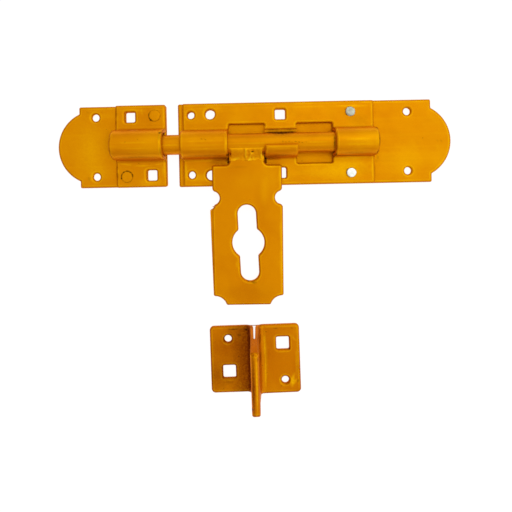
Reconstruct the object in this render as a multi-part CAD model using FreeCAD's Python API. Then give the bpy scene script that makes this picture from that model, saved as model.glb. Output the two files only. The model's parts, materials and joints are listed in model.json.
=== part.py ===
"""Heavy sliding padbolt set: body with bolt and slotted handle, keeper and padlock staple.

The set lies on its back plates. Millimetres, +Z out of the wall, +X along the bolt towards
the round end of the body, +Y up. The origin is on the wall face, midway between the two
square holes at the middle of the body.
"""
import FreeCAD, Part
import math
import os

V = FreeCAD.Vector

# Sheet stock and the bolt that runs in it
PLATE_T = 3.0          # back plates, cover and keeper strap
BOLT_R = 8.0
BOLT_GAP = 0.4         # running gap all round the bolt, in the cover and over the back plate
BOLT_TIP_CHAMFER = 2.0
BOLT_TAIL_CHAMFER = 1.0
TAIL_INSET = 5.0       # how far the tail stays inside the cover while the bolt is thrown
FOOT_BEND_R = 3.0      # top side of the bend between the cover's arch and its flange
SHEET_CORNER_R = 1.4   # outer corners of plates and flanges
PUNCH_PAST = 1.0       # how far a cutting tool reaches past the sheet

# Body, from its middle outwards
BRIDGE_L = 26.2        # slotted arch between the two windows
WINDOW_HALF_W = 16.3
WINDOW_CORNER_R = 1.2
LIP_DROP = 0.9         # the lip of the bridge ends this far below the bolt's axis
LIP_ROUND_R = 1.3
NECK_GAP = 0.4         # between a raised handle and the bridge's long edge
LEFT_ARCH_L = 37.6
RIGHT_ARCH_L = 34.1
COVER_HALF_W = 34.0
BODY_HALF_W = 34.2
BODY_L = 208.8             # straight part of the back plate, up to the shoulders
BODY_LEFT_MARGIN = 4.1     # back plate past the cover at the keeper's side
BODY_END_R = 30.75
BODY_END_INSET = 14.5      # centre of the round end, inside the shoulders

# Holes and rivets of the body
SCREW_R = 3.0
SCREW_HALF_PITCH = 24.5
LEFT_SCREW_INSET = 6.9     # from the cover's left edge
RIGHT_SCREW_INSET = 19.6   # from the shoulders
BIG_HOLE_R = 4.0
BIG_HOLE_INSET = 22.6      # from the cover's left edge
RIVET_INSET = 19.1         # from the cover's right edge
RIVET_R = 4.0
BODY_RIVET_HALF_PITCH = 25.0
RIVET_CROWN = 0.5          # how far a hammered head stands out of its sheet
RIVET_BEVEL = 1.0          # width of the slope round the head
CARRIAGE_W = 8.5           # square holes for carriage bolts
CARRIAGE_CORNER_R = 1.4
CARRIAGE_HALF_PITCH = 24.0

# Keeper
KEEPER_SPACE = 9.7         # between the back plates of body and keeper
KEEPER_HALF_W = 33.5
KEEPER_PLATE_L = 71.9      # straight part, up to the shoulders
KEEPER_END_R = 30.6
KEEPER_END_INSET = 12.9
KEEPER_SCREW_INSET = 13.5  # from the shoulders
STRAP_L = 41.2
STRAP_HALF_W = 33.7
STRAP_BOLT_GAP = 1.1       # the keeper's arch is wider than the body's
STRAP_ARCH_UP = 0.7        # and is pressed a little above the bolt's middle
STRAP_FOOT_R = 3.5
KEEPER_RIVET_R = 4.5
KEEPER_RIVET_Y = 24.8
KEEPER_RIVET_INSET = 8.9   # from the nearer edge of the strap
KEEPER_SQUARE_INSET = 12.0
BOLT_STOP_PAST = 2.0       # bevel of the bolt stands past the strap

# Handle, measured along the plate from the bolt's axis
HANDLE_T = 4.0
NECK_W = 28.0
NECK_PLAY = 0.7            # on each side, in a window
NECK_FILLET_R = 3.4
SHOULDER_S = 17.2
UPPER_W = 56.4
LOWER_W = 57.6
NOTCH_S = 43.9
NOTCH_R = 5.5
NOTCH_DEPTH = 5.75
NOTCH_CORNER_R = 3.0
HANDLE_S = 132.5
SCOOP_R = 10.0
SCOOP_IN = 1.0             # centre of a bottom scoop, inside the plate's edge
SCOOP_BELOW = 2.5          # and below its end
HANDLE_CORNER_R = 1.6
SLOT_W = 14.9
SLOT_TOP_S = 49.5
SLOT_END_S = 112.6
SLOT_EYE_R = 13.1
SLOT_EYE_S = 80.7
SLOT_CORNER_R = 2.2        # where the straight slot meets the eye
SLOT_SKEW = 2.4            # degrees, the slot is punched askew
SLOT_OFFSET = 0.35         # and a little to one side
HANDLE_SKEW = 0.45         # degrees, the plate is welded on askew
TIP_LIFT = 0.3             # the handle's end over the wall
WELD_GAP = 0.05            # between the bolt and the coped neck with its weld
WELD_OUT = 1.0             # middle line of the weld, out from the bolt
# Swells and dips of the weld: place along the neck from its middle, and radius there
WELD_BEADS = [(-13.0, 1.9), (-10.5, 3.0), (-8.6, 2.5), (-6.4, 3.9), (-4.8, 3.2), (-2.6, 4.4),
              (-0.4, 2.7), (3.0, 1.5), (13.2, 1.5)]

# Staple, one folded sheet
STAPLE_T = 3.2
STAPLE_X = -24.4
STAPLE_Y = -177.7
STAPLE_TURN = 0.8        # degrees
STAPLE_W = 73.9
STAPLE_L = 56.5
STAPLE_LEFT_SHORT = 1.7  # the left sheet ends this much short of the right one
STAPLE_H = 43.0
STAPLE_BEND_R = 3.8
STAPLE_CORNER_R = 3.4
STAPLE_TOP_TAPER = 6.3   # upper edge of the tongue, over its height
STAPLE_END_TAPER = 3.7   # and its lower edge
STAPLE_TIP_R = 2.4
STAPLE_SPLAY = 0.8       # half the gap between the sheets at their bends
STAPLE_GAP_R = 0.6
STAPLE_GAP_H = 23.0      # above this the two sheets are pressed together
STAPLE_SCREWS_RIGHT = 1.1    # middle of the two screw holes, right of the fold
STAPLE_SCREW_X = 23.1
STAPLE_SCREW_Y = 17.7
STAPLE_SQUARE_W = 10.5
STAPLE_SQUARES_RIGHT = 0.65  # middle of the two square holes, right of the fold
STAPLE_SQUARES_UP = 1.7      # and above the middle of the flanges
STAPLE_SQUARE_X = 22.3
STAPLE_SQUARE_Y = 11.0
PADLOCK_R = 6.5
PADLOCK_Z = 27.0

# Places that follow from the sizes
AXIS_Z = PLATE_T + BOLT_GAP + BOLT_R
TOP_Z = 2 * PLATE_T
WINDOW_L = NECK_W + 2 * NECK_PLAY
THROW = BRIDGE_L + WINDOW_L
HANDLE_X = -THROW / 2
COVER_X0 = -(BRIDGE_L / 2 + WINDOW_L + LEFT_ARCH_L)
COVER_X1 = BRIDGE_L / 2 + WINDOW_L + RIGHT_ARCH_L
BODY_X0 = COVER_X0 - BODY_LEFT_MARGIN
BODY_X1 = BODY_X0 + BODY_L
KEEPER_X1 = BODY_X0 - KEEPER_SPACE
KEEPER_X0 = KEEPER_X1 - KEEPER_PLATE_L
STRAP_X0 = KEEPER_X1 - STRAP_L
BOLT_X0 = STRAP_X0 - BOLT_STOP_PAST
BOLT_X1 = COVER_X1 - TAIL_INSET
BODY_SCREWS = [(COVER_X0 + LEFT_SCREW_INSET, side * SCREW_HALF_PITCH) for side in (1, -1)]
END_SCREWS = [(BODY_X1 - RIGHT_SCREW_INSET, side * SCREW_HALF_PITCH) for side in (1, -1)]
BIG_HOLES = [(COVER_X0 + BIG_HOLE_INSET, side * BODY_RIVET_HALF_PITCH) for side in (1, -1)]
BODY_RIVETS = [(COVER_X1 - RIVET_INSET, side * BODY_RIVET_HALF_PITCH) for side in (1, -1)]
BODY_SQUARES = [(0, side * CARRIAGE_HALF_PITCH) for side in (1, -1)]
KEEPER_SCREWS = [(KEEPER_X0 + KEEPER_SCREW_INSET, side * SCREW_HALF_PITCH) for side in (1, -1)]
KEEPER_SQUARES = [(STRAP_X0 + KEEPER_SQUARE_INSET, CARRIAGE_HALF_PITCH),
                  (KEEPER_X1 - KEEPER_SQUARE_INSET, -CARRIAGE_HALF_PITCH)]
KEEPER_RIVETS = [(KEEPER_X1 - KEEPER_RIVET_INSET, KEEPER_RIVET_Y),
                 (STRAP_X0 + KEEPER_RIVET_INSET, -KEEPER_RIVET_Y)]


def line(a, b):
    return Part.LineSegment(a, b).toShape()


def arc(a, middle, b):
    return Part.Arc(a, middle, b).toShape()


def polygon_face(points):
    return Part.Face(Part.makePolygon(points + [points[0]]))


def rod(x, y, z0, z1, radius):
    return Part.makeCylinder(radius, z1 - z0, V(x, y, z0))


def square_rod(x, y, z0, z1, width):
    """Square punch with rounded corners, for a carriage bolt's hole."""
    block = Part.makeBox(width, width, z1 - z0, V(x - width / 2, y - width / 2, z0))
    uprights = [edge for edge in block.Edges if abs(edge.tangentAt(edge.FirstParameter).z) > 0.9]
    return block.makeFillet(CARRIAGE_CORNER_R, uprights)


def punch(sheet, rounds, squares, radius_of_rounds, z1=TOP_Z, width=CARRIAGE_W):
    """Punches round and square holes right through a sheet."""
    for x, y in rounds:
        sheet = sheet.cut(rod(x, y, -PUNCH_PAST, z1 + PUNCH_PAST, radius_of_rounds))
    for x, y in squares:
        sheet = sheet.cut(square_rod(x, y, -PUNCH_PAST, z1 + PUNCH_PAST, width))
    return sheet


def round_off(block, places, radius):
    """Rounds the upright edges of a flat block at the given places, seen from the front."""
    def is_there(edge):
        middle = edge.CenterOfMass
        upright = abs(edge.tangentAt(edge.FirstParameter).z) > 0.9
        return upright and any(math.hypot(middle.x - x, middle.y - y) < 0.05 for x, y in places)
    return block.makeFillet(radius, [edge for edge in block.Edges if is_there(edge)])


def four_corners(x0, x1, half_width):
    return [(x, side * half_width) for x in (x0, x1) for side in (1, -1)]


def round_ended_plate(x_square, x_shoulder, half_width, end_r, end_inset):
    """Back plate: square at one end, shoulders and a half-round at the other."""
    side = 1 if x_shoulder > x_square else -1
    centre_x = x_shoulder - side * end_inset
    step = math.sqrt(end_r ** 2 - end_inset ** 2)
    corners = [V(x_shoulder, step, 0), V(x_shoulder, half_width, 0), V(x_square, half_width, 0),
               V(x_square, -half_width, 0), V(x_shoulder, -half_width, 0), V(x_shoulder, -step, 0)]
    edges = [line(a, b) for a, b in zip(corners, corners[1:])]
    edges.append(arc(corners[-1], V(centre_x + side * end_r, 0, 0), corners[0]))
    plate = Part.Face(Part.Wire(edges)).extrude(V(0, 0, PLATE_T))
    return round_off(plate, four_corners(x_square, x_shoulder, half_width), SHEET_CORNER_R)


def body_back_plate():
    plate = round_ended_plate(BODY_X0, BODY_X1, BODY_HALF_W, BODY_END_R, BODY_END_INSET)
    plate = punch(plate, BODY_SCREWS + END_SCREWS, BODY_SQUARES, SCREW_R)
    plate = punch(plate, BIG_HOLES, [], BIG_HOLE_R)
    return punch(plate, BODY_RIVETS, [], RIVET_R)


def arched_sheet(x0, x1, bore_r, half_width, foot_r, arch_y=0.0):
    """Sheet pressed into an arch over the bolt, with a flat flange on each side."""
    low = PLATE_T
    high = low + PLATE_T
    bend_z = high + foot_r
    under_r = foot_r + PLATE_T
    outer = bore_r + PLATE_T
    foot = outer + foot_r
    turn = math.cos(math.radians(45))

    def half(side):
        """Top outline from the crown outwards, then the underside back to the crown."""
        def at(y, z):
            return V(x0, arch_y + side * y, z)
        rim = half_width - side * arch_y
        return [line(at(outer, AXIS_Z), at(outer, bend_z)),
                arc(at(outer, bend_z), at(foot - foot_r * turn, bend_z - foot_r * turn), at(foot, high)),
                line(at(foot, high), at(rim, high)),
                line(at(rim, high), at(rim, low)),
                line(at(rim, low), at(foot, low)),
                arc(at(foot, low), at(foot - under_r * turn, bend_z - under_r * turn),
                    at(bore_r, bend_z)),
                line(at(bore_r, bend_z), at(bore_r, AXIS_Z))]

    def crown(radius):
        return arc(V(x0, arch_y - radius, AXIS_Z), V(x0, arch_y, AXIS_Z + radius),
                   V(x0, arch_y + radius, AXIS_Z))

    edges = half(-1) + [crown(outer)] + half(1) + [crown(bore_r)]
    profile = Part.Face(Part.Wire(Part.__sortEdges__(edges)))
    sheet = profile.extrude(V(x1 - x0, 0, 0))
    return round_off(sheet, four_corners(x0, x1, half_width), SHEET_CORNER_R)


def window(x0):
    """Punch for one of the two windows that take the handle's neck."""
    block = Part.makeBox(WINDOW_L, 2 * WINDOW_HALF_W, AXIS_Z + 2 * BOLT_R, V(x0, -WINDOW_HALF_W, 0))
    uprights = [edge for edge in block.Edges if abs(edge.tangentAt(edge.FirstParameter).z) > 0.9]
    return block.makeFillet(WINDOW_CORNER_R, uprights)


def round_lip(cover, lip_z):
    """Rounds the outer edge of the low wall that the slot leaves along the bridge."""
    outer = BOLT_R + BOLT_GAP + PLATE_T
    lip = [edge for edge in cover.Edges
           if math.hypot(edge.CenterOfMass.y - outer, edge.CenterOfMass.z - lip_z) < 0.05]
    return cover.makeFillet(LIP_ROUND_R, lip)


def body_cover():
    cover = arched_sheet(COVER_X0, COVER_X1, BOLT_R + BOLT_GAP, COVER_HALF_W, FOOT_BEND_R)
    cover = cover.cut(window(-BRIDGE_L / 2 - WINDOW_L))
    cover = cover.cut(window(BRIDGE_L / 2))
    slot_y = -(HANDLE_T / 2 + NECK_GAP)
    lip_z = AXIS_Z - LIP_DROP
    slot = Part.makeBox(BRIDGE_L, WINDOW_HALF_W - slot_y, 2 * BOLT_R + PLATE_T,
                        V(-BRIDGE_L / 2, slot_y, lip_z))
    cover = round_lip(cover.cut(slot), lip_z)
    cover = punch(cover, BODY_SCREWS, BODY_SQUARES, SCREW_R)
    cover = punch(cover, BIG_HOLES, [], BIG_HOLE_R)
    return punch(cover, BODY_RIVETS, [], RIVET_R)


def flush_rivet(x, y, radius):
    """Rivet through two sheets, level with the wall and hammered to a low crown in front."""
    top = TOP_Z + RIVET_CROWN
    outline = [V(0, 0, 0), V(radius, 0, 0), V(radius, 0, TOP_Z),
               V(radius - RIVET_BEVEL, 0, top), V(0, 0, top)]
    rivet = polygon_face(outline).revolve(V(0, 0, 0), V(0, 0, 1), 360)
    rivet.translate(V(x, y, 0))
    return rivet


def body_rivet_upper():
    return flush_rivet(*BODY_RIVETS[0], RIVET_R)


def body_rivet_lower():
    return flush_rivet(*BODY_RIVETS[1], RIVET_R)


def keeper_back_plate():
    plate = round_ended_plate(KEEPER_X1, KEEPER_X0, KEEPER_HALF_W, KEEPER_END_R, KEEPER_END_INSET)
    plate = punch(plate, KEEPER_SCREWS, KEEPER_SQUARES, SCREW_R)
    return punch(plate, KEEPER_RIVETS, [], KEEPER_RIVET_R)


def keeper_strap():
    strap = arched_sheet(STRAP_X0, KEEPER_X1, BOLT_R + STRAP_BOLT_GAP, STRAP_HALF_W, STRAP_FOOT_R,
                         STRAP_ARCH_UP)
    return punch(strap, KEEPER_RIVETS, KEEPER_SQUARES, KEEPER_RIVET_R)


def keeper_rivet_upper():
    return flush_rivet(*KEEPER_RIVETS[0], KEEPER_RIVET_R)


def keeper_rivet_lower():
    return flush_rivet(*KEEPER_RIVETS[1], KEEPER_RIVET_R)


def bolt_rod():
    """Round bolt, turned to a bevel at both ends."""
    outline = [V(BOLT_X0, 0, 0), V(BOLT_X0, BOLT_R - BOLT_TIP_CHAMFER, 0),
               V(BOLT_X0 + BOLT_TIP_CHAMFER, BOLT_R, 0), V(BOLT_X1 - BOLT_TAIL_CHAMFER, BOLT_R, 0),
               V(BOLT_X1, BOLT_R - BOLT_TAIL_CHAMFER, 0), V(BOLT_X1, 0, 0)]
    bolt = polygon_face(outline).revolve(V(0, 0, 0), V(1, 0, 0), 360)
    bolt.translate(V(0, 0, AXIS_Z))
    return bolt


def handle_tilt():
    """Degrees that the handle hangs below level, with its end just over the wall."""
    reach = math.hypot(HANDLE_S, HANDLE_T / 2)
    lean = math.asin((AXIS_Z - TIP_LIFT) / reach)
    return math.degrees(lean - math.atan2(HANDLE_T / 2, HANDLE_S))


def hang(shape):
    """Moves a shape from the handle's own plane, hanging along -Y, to its place on the bolt."""
    shape = shape.copy()
    shape.rotate(V(0, 0, 0), V(1, 0, 0), handle_tilt())
    shape.translate(V(HANDLE_X, 0, AXIS_Z))
    return shape


def handle_blank():
    """Flat handle before it is coped: neck, shoulders, side notches and scooped corners."""
    half_neck = NECK_W / 2
    half_upper = UPPER_W / 2
    half_lower = LOWER_W / 2
    outline = [V(-half_neck, 0, 0), V(half_neck, 0, 0),
               V(half_neck, -SHOULDER_S, 0), V(half_upper, -SHOULDER_S, 0),
               V(half_upper, -NOTCH_S, 0), V(half_lower, -NOTCH_S, 0),
               V(half_lower, -HANDLE_S, 0), V(-half_lower, -HANDLE_S, 0),
               V(-half_lower, -NOTCH_S, 0), V(-half_upper, -NOTCH_S, 0),
               V(-half_upper, -SHOULDER_S, 0), V(-half_neck, -SHOULDER_S, 0)]
    blank = polygon_face(outline).extrude(V(0, 0, HANDLE_T))
    for side in (1, -1):
        blank = blank.cut(rod(side * (half_upper - NOTCH_DEPTH + NOTCH_R), -NOTCH_S,
                              -PUNCH_PAST, HANDLE_T + PUNCH_PAST, NOTCH_R))
        blank = blank.cut(rod(side * (half_lower - SCOOP_IN), -HANDLE_S - SCOOP_BELOW,
                              -PUNCH_PAST, HANDLE_T + PUNCH_PAST, SCOOP_R))
    return blank


def circle_meets(centre, radius, at):
    """Distance from a circle's centre, along one axis, to where it meets a line across it."""
    return math.sqrt(radius ** 2 - (at - centre) ** 2)


def handle_plate():
    blank = handle_blank()
    notch_u = UPPER_W / 2 - NOTCH_DEPTH + NOTCH_R
    scoop_u = LOWER_W / 2 - SCOOP_IN
    upper_reach = circle_meets(notch_u, NOTCH_R, UPPER_W / 2)
    lower_reach = circle_meets(notch_u, NOTCH_R, LOWER_W / 2)
    scoop_s = HANDLE_S + SCOOP_BELOW - circle_meets(scoop_u, SCOOP_R, LOWER_W / 2)
    end_u = scoop_u - circle_meets(0, SCOOP_R, SCOOP_BELOW)
    for side in (1, -1):
        blank = round_off(blank, [(side * UPPER_W / 2, -NOTCH_S + upper_reach),
                                  (side * LOWER_W / 2, -NOTCH_S - lower_reach)], NOTCH_CORNER_R)
        blank = round_off(blank, [(side * LOWER_W / 2, -scoop_s), (side * end_u, -HANDLE_S),
                                  (side * UPPER_W / 2, -SHOULDER_S)], HANDLE_CORNER_R)
        blank = round_off(blank, [(side * NECK_W / 2, -SHOULDER_S)], NECK_FILLET_R)
    blank = blank.cut(handle_slot())
    blank.rotate(V(0, 0, 0), V(0, 0, 1), -HANDLE_SKEW)
    blank.translate(V(0, 0, -HANDLE_T / 2))
    plate = hang(blank)
    return plate.cut(bolt_space())


def handle_slot():
    """Keyhole-like slot, a round eye with a round-ended slot above and below it."""
    half = SLOT_W / 2
    top = -SLOT_TOP_S - half
    end = -SLOT_END_S + half
    slot = Part.makeBox(SLOT_W, top - end, HANDLE_T + 2 * PUNCH_PAST, V(-half, end, -PUNCH_PAST))
    for y, radius in ((top, half), (end, half), (-SLOT_EYE_S, SLOT_EYE_R)):
        slot = slot.fuse(rod(0, y, -PUNCH_PAST, HANDLE_T + PUNCH_PAST, radius))
    reach = circle_meets(0, SLOT_EYE_R, half)
    corners = [(side * half, -SLOT_EYE_S + way * reach) for side in (1, -1) for way in (1, -1)]
    slot = round_off(slot.removeSplitter(), corners, SLOT_CORNER_R)
    slot.rotate(V(0, -SLOT_EYE_S, 0), V(0, 0, 1), SLOT_SKEW)
    slot.translate(V(SLOT_OFFSET, 0, 0))
    return slot


def bolt_space():
    """Room that the coped neck and its weld leave round the bolt."""
    radius = BOLT_R + WELD_GAP
    return Part.makeCylinder(radius, NECK_W * 2, V(HANDLE_X - NECK_W, 0, AXIS_Z), V(1, 0, 0))


def handle_weld():
    """Lumpy bead that joins the front of the neck to the bolt, thickest at its middle."""
    front = HANDLE_T / 2
    outline = [V(-NECK_W / 2 + NECK_PLAY, 0, 0)]
    outline += [V(along, swell, 0) for along, swell in WELD_BEADS]
    outline.append(V(WELD_BEADS[-1][0], 0, 0))
    weld = polygon_face(outline).revolve(V(0, 0, 0), V(1, 0, 0), 360)
    weld.translate(V(0, -BOLT_R - WELD_OUT, front))
    behind = Part.makeBox(UPPER_W, HANDLE_S, BOLT_R, V(-UPPER_W / 2, -HANDLE_S, front - BOLT_R))
    return hang(weld.cut(behind)).cut(bolt_space())


def staple_profile():
    """Folded section: flanges, splayed bends and two sheets pressed together up to the fold."""
    half_w = STAPLE_W / 2
    bend_z = STAPLE_T + STAPLE_BEND_R
    under_r = STAPLE_BEND_R + STAPLE_T
    inner = STAPLE_SPLAY
    outer = inner + STAPLE_T
    foot = outer + STAPLE_BEND_R
    fold_z = STAPLE_H - STAPLE_T
    turn = math.cos(math.radians(45))

    def half(side):
        def at(x, z):
            return V(side * x, 0, z)
        return [line(at(STAPLE_T, fold_z), at(STAPLE_T, STAPLE_GAP_H)),
                line(at(STAPLE_T, STAPLE_GAP_H), at(outer, bend_z)),
                arc(at(outer, bend_z),
                    at(foot - STAPLE_BEND_R * turn, bend_z - STAPLE_BEND_R * turn),
                    at(foot, STAPLE_T)),
                line(at(foot, STAPLE_T), at(half_w, STAPLE_T)),
                line(at(half_w, STAPLE_T), at(half_w, 0)),
                line(at(half_w, 0), at(foot, 0)),
                arc(at(foot, 0), at(foot - under_r * turn, bend_z - under_r * turn),
                    at(inner, bend_z)),
                line(at(inner, bend_z), at(STAPLE_GAP_R, STAPLE_GAP_H - STAPLE_GAP_R))]

    def cap(radius, z):
        return arc(V(-radius, 0, z), V(0, 0, z + radius), V(radius, 0, z))

    edges = half(-1) + half(1)
    edges += [cap(STAPLE_T, fold_z), cap(STAPLE_GAP_R, STAPLE_GAP_H - STAPLE_GAP_R)]
    return Part.Face(Part.Wire(Part.__sortEdges__(edges)))


def staple_side():
    """Side view of the staple: full length at the flanges, a tongue that narrows to its tip."""
    half_l = STAPLE_L / 2
    outline = [V(0, -half_l, 0), V(0, half_l, 0), V(0, half_l, STAPLE_T),
               V(0, half_l - STAPLE_TOP_TAPER, STAPLE_H), V(0, STAPLE_END_TAPER - half_l, STAPLE_H),
               V(0, -half_l, STAPLE_T)]
    return polygon_face(outline)


def staple():
    sheet = staple_profile().extrude(V(0, STAPLE_L, 0))
    sheet.translate(V(0, -STAPLE_L / 2, 0))
    side = staple_side().extrude(V(STAPLE_W, 0, 0))
    side.translate(V(-STAPLE_W / 2, 0, 0))
    tips = [edge for edge in side.Edges if edge.BoundBox.ZMin > STAPLE_H - 0.1
            and edge.BoundBox.XLength > STAPLE_W / 2]
    sheet = sheet.common(side.makeFillet(STAPLE_TIP_R, tips))
    short = Part.makeBox(STAPLE_W, STAPLE_LEFT_SHORT, STAPLE_H, V(-STAPLE_W, -STAPLE_L / 2, 0))
    sheet = sheet.cut(short)
    corners = [edge for edge in sheet.Edges if abs(abs(edge.CenterOfMass.x) - STAPLE_W / 2) < 0.01
               and edge.BoundBox.ZLength > STAPLE_T / 2]
    sheet = sheet.makeFillet(STAPLE_CORNER_R, corners)
    screws = [(STAPLE_SCREWS_RIGHT - way * STAPLE_SCREW_X, way * STAPLE_SCREW_Y) for way in (1, -1)]
    squares = [(STAPLE_SQUARES_RIGHT + way * STAPLE_SQUARE_X, STAPLE_SQUARES_UP + way * STAPLE_SQUARE_Y)
               for way in (1, -1)]
    sheet = punch(sheet, screws, squares, SCREW_R, STAPLE_T, STAPLE_SQUARE_W)
    shackle = Part.makeCylinder(PADLOCK_R, STAPLE_W, V(-STAPLE_W / 2, 0, PADLOCK_Z), V(1, 0, 0))
    sheet = sheet.cut(shackle)
    sheet.rotate(V(0, 0, 0), V(0, 0, 1), STAPLE_TURN)
    sheet.translate(V(STAPLE_X, STAPLE_Y, 0))
    return sheet


NODES = [body_back_plate, body_cover, body_rivet_upper, body_rivet_lower,
         keeper_back_plate, keeper_strap, keeper_rivet_upper, keeper_rivet_lower,
         bolt_rod, handle_plate, handle_weld, staple]


def main():
    os.makedirs("parts", exist_ok=True)
    for node in NODES:
        shape = node()
        solids = shape.Solids
        if len(solids) != 1 or not shape.isValid():
            raise ValueError(f"{node.__name__} has {len(solids)} solids, valid {shape.isValid()}")
        solids[0].exportStep(f"parts/{node.__name__}.step")
        print(f"{node.__name__}: {solids[0].Volume:.0f} mm3")


main()
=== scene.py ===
import bpy
import bmesh
import json
import math
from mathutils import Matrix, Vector, kdtree, noise


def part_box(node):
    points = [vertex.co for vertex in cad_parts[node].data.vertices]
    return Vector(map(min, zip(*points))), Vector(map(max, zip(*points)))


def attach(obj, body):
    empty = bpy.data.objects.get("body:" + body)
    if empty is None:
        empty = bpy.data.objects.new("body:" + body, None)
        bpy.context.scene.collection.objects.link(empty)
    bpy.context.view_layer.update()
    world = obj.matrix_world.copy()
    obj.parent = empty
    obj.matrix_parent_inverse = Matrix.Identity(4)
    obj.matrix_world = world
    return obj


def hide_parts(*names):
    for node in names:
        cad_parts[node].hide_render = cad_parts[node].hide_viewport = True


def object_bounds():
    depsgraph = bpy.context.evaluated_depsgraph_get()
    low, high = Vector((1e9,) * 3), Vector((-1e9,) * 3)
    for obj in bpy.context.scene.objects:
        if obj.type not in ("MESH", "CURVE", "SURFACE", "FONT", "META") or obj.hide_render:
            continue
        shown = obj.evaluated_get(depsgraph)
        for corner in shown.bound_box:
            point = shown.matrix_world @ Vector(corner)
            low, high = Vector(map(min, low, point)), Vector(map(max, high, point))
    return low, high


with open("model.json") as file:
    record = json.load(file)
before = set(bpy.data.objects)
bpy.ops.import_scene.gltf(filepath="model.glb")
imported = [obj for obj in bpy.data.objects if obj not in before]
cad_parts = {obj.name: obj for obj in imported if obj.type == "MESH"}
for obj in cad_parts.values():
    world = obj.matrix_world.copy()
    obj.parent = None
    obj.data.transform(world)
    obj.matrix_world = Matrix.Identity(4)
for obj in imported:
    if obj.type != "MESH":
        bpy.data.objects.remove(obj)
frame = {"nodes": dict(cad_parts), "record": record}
cadLow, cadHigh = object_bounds()
print("frame loaded:", len(frame["nodes"]), "CAD nodes")

# what all the pieces share, in metres and degrees where no note says otherwise
meshWork = {
    "mergeWithin": 2e-6,
    "cutWithin": 1e-6,
    "flatWithin": 0.4,
    "sharpFrom": 40,
    "rimSegments": 4,
    "rimUp": 0.74,  # a rim faces the front while its normal points up by this much
    "rimSideways": 0.62,  # and leans along X by less than this
    "archFrom": 0.0075,  # rims higher than this are on an arch
    "rimPointEvery": 0.0003,
    "rimReach": 9.0,  # millimetres
    "gridShift": 0.37,  # share of a step, so that no cut runs along an edge
    "gridFacing": 0.25,
    "dentFacing": 0.3,
    "paintFacing": 0.02,
    "plateMarksFrom": 0.0015,  # lowest marks on a sheet that lies on the wall
    "coverMarksFrom": 0.0045,  # and on one that lies on its plate
}


def mergedCopy(nodeName):
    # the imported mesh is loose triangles, so the copy is merged and its flats made whole
    bm = bmesh.new()
    bm.from_mesh(frame["nodes"][nodeName].data)
    bmesh.ops.remove_doubles(bm, verts=bm.verts, dist=meshWork["mergeWithin"])
    bmesh.ops.dissolve_degenerate(bm, dist=meshWork["cutWithin"], edges=bm.edges)
    bmesh.ops.dissolve_limit(bm, angle_limit=math.radians(meshWork["flatWithin"]),
                             verts=bm.verts, edges=bm.edges)
    bm.faces.layers.float.new("rim")
    return bm


def sharpEdges(bm, keep=None):
    # edges where two faces meet at a corner and keep says yes to the middle of the edge
    least = math.radians(meshWork["sharpFrom"])
    corners = [e for e in bm.edges if len(e.link_faces) == 2 and e.calc_face_angle(0.0) >= least]
    return [e for e in corners if keep is None or keep((e.verts[0].co + e.verts[1].co) / 2)]


def roundEdges(bm, edges, width, segments=meshWork["rimSegments"], archFrom=meshWork["archFrom"]):
    # the rim attribute is 1 on strips that still face the front and -1 on those that turn away,
    # where the material paints shade
    rim = bm.faces.layers.float["rim"]
    made = bmesh.ops.bevel(bm, geom=edges, offset=width, offset_type="OFFSET", segments=segments,
                           profile=0.5, affect="EDGES", clamp_overlap=False, material=-1)
    for face in made["faces"]:
        face.normal_update()
        raised = face.calc_center_median().z > archFrom or face.normal.z > meshWork["rimUp"]
        seen = raised and abs(face.normal.x) < meshWork["rimSideways"]
        face[rim] = 1.0 if seen else -1.0


def frontEdgePoints(bm, keep=None, lowest=0.2):
    # points all along the sharp edges that the front shows, before they are rounded
    spots = []
    for e in sharpEdges(bm, keep):
        if max(f.normal.z for f in e.link_faces) < lowest:
            continue
        a, b = (v.co for v in e.verts)
        count = max(1, int((b - a).length / meshWork["rimPointEvery"]))
        spots += [a.lerp(b, i / count) for i in range(count + 1)]
    tree = kdtree.KDTree(len(spots))
    for i, spot in enumerate(spots):
        tree.insert(spot, i)
    tree.balance()
    return tree


def measureRims(bm, rims=None):
    # millimetres from the nearest front edge, for the rolled rim and its painted highlight and
    # shade in the material
    layer = bm.verts.layers.float.new("rimAway")
    for v in bm.verts:
        away = meshWork["rimReach"] if rims is None else rims.find(v.co)[2] * 1000
        v[layer] = min(meshWork["rimReach"], away)


def cutAcross(bm, faces, at, direction):
    geom = {part for f in faces for part in (f, *f.edges, *f.verts)}
    bmesh.ops.bisect_plane(bm, geom=list(geom), dist=meshWork["cutWithin"], plane_co=at,
                           plane_no=direction)


def gridCut(bm, step, facing=(0, 0, 1), least=meshWork["gridFacing"]):
    # faces that look one way get a fine grid, so that marks and dents can be set on its points
    facing = Vector(facing)
    for axis in (Vector((1, 0, 0)), Vector((0, 1, 0)), Vector((0, 0, 1))):
        if axis.dot(facing):
            continue
        low = min(axis.dot(v.co) for v in bm.verts)
        high = max(axis.dot(v.co) for v in bm.verts)
        for i in range(1, int((high - low) / step) + 1):
            front = [f for f in bm.faces if f.normal.dot(facing) > least]
            cutAcross(bm, front, axis * (low + (i - meshWork["gridShift"]) * step), axis)


def roundedSheet(nodeName, spec, keep=None):
    # a sheet with round edges and a grid on its front, and where its edges ran
    bm = mergedCopy(nodeName)
    rims = frontEdgePoints(bm, keep)
    roundEdges(bm, sharpEdges(bm, keep), spec["edge"])
    gridCut(bm, spec["step"])
    return bm, rims


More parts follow.
